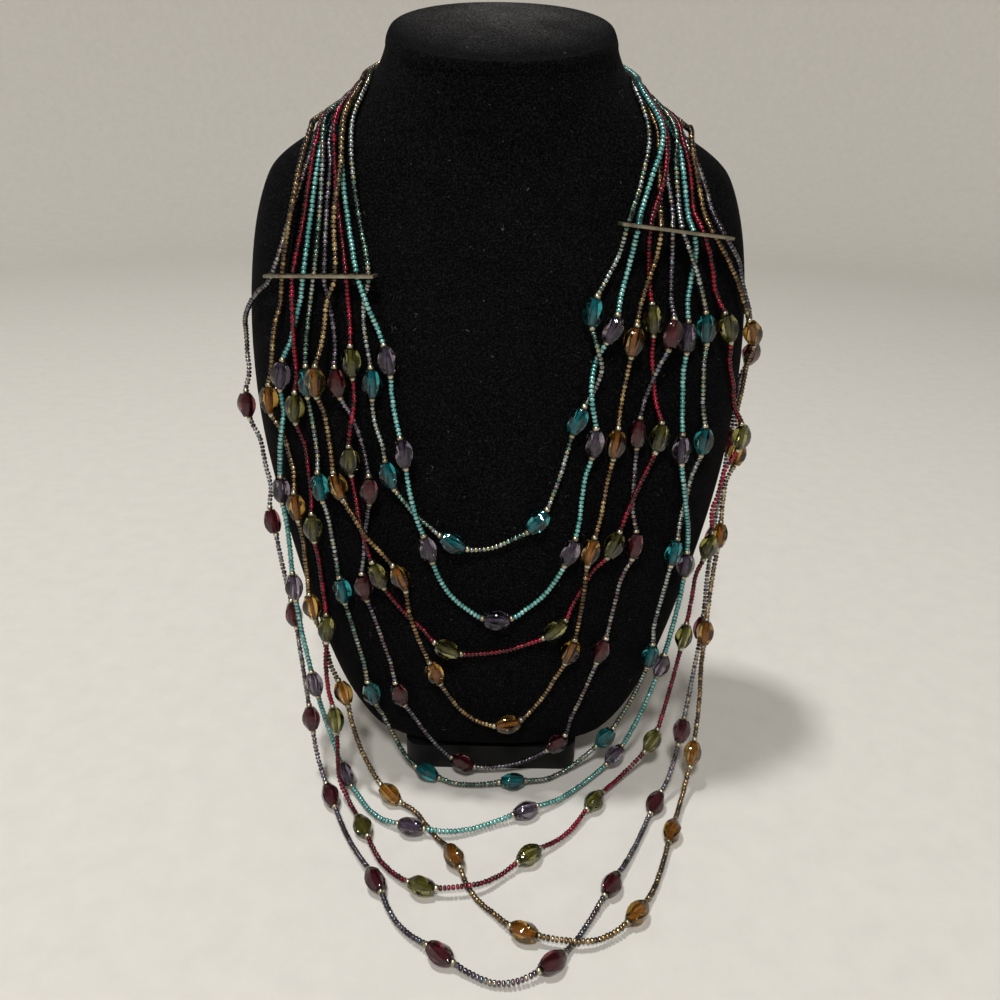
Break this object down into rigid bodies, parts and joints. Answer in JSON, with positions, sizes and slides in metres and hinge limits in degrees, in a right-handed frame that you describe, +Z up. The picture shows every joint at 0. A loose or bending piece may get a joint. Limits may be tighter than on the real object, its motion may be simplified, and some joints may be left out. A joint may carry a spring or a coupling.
{
  "type": "multi strand necklace on a neck bust",
  "caption": "Long multi strand seed bead necklace with faceted glass beads and two metal spacer bars, hung over a plain black neck bust on a block foot.",
  "frame": {"origin": "centre of the underside of the bust's foot", "axes": "+Z up, +X to the viewer's right, -Y the front of the bust, where the long strands reach forward over the table"},
  "size_m": [0.2436, 0.2282, 0.347],
  "materials": {
    "velvet": "matt black velvet over a moulded bust",
    "foot_board": "matt black painted block",
    "bar_metal": "dull antique metal",
    "clasp_metal": "dull antique metal",
    "iris_green_seeds": "dark green iris seed beads on thread",
    "aqua_seeds": "silver lined aqua seed beads on thread",
    "ruby_seeds": "ruby seed beads on thread",
    "bronze_seeds": "bronze metallic seed beads on thread",
    "purple_seeds": "purple iris seed beads on thread",
    "teal_glass": "clear faceted glass with a teal core",
    "amethyst_glass": "clear faceted glass with a pale amethyst core",
    "olive_glass": "clear faceted glass with an olive core",
    "amber_glass": "clear faceted glass with an amber core",
    "garnet_glass": "clear faceted glass with a garnet core"
  },
  "bodies": {
    "root": {"neck_form": "velvet", "foot": "foot_board", "spacer_bar_left": "bar_metal", "spacer_bar_right": "bar_metal", "clasp": "clasp_metal", "strand_01": "iris_green_seeds", "strand_02": "aqua_seeds", "strand_03": "ruby_seeds", "strand_04": "bronze_seeds", "strand_05": "purple_seeds", "strand_06": "iris_green_seeds", "strand_07": "aqua_seeds", "strand_08": "ruby_seeds", "strand_09": "bronze_seeds", "strand_10": "purple_seeds", "glass_beads_01": "teal_glass", "glass_beads_02": "amethyst_glass", "glass_beads_03": "olive_glass", "glass_beads_04": "amber_glass", "glass_beads_05": "garnet_glass", "glass_beads_06": "teal_glass", "glass_beads_07": "amethyst_glass", "glass_beads_08": "olive_glass", "glass_beads_09": "amber_glass", "glass_beads_10": "garnet_glass"}
  },
  "joints": []
}
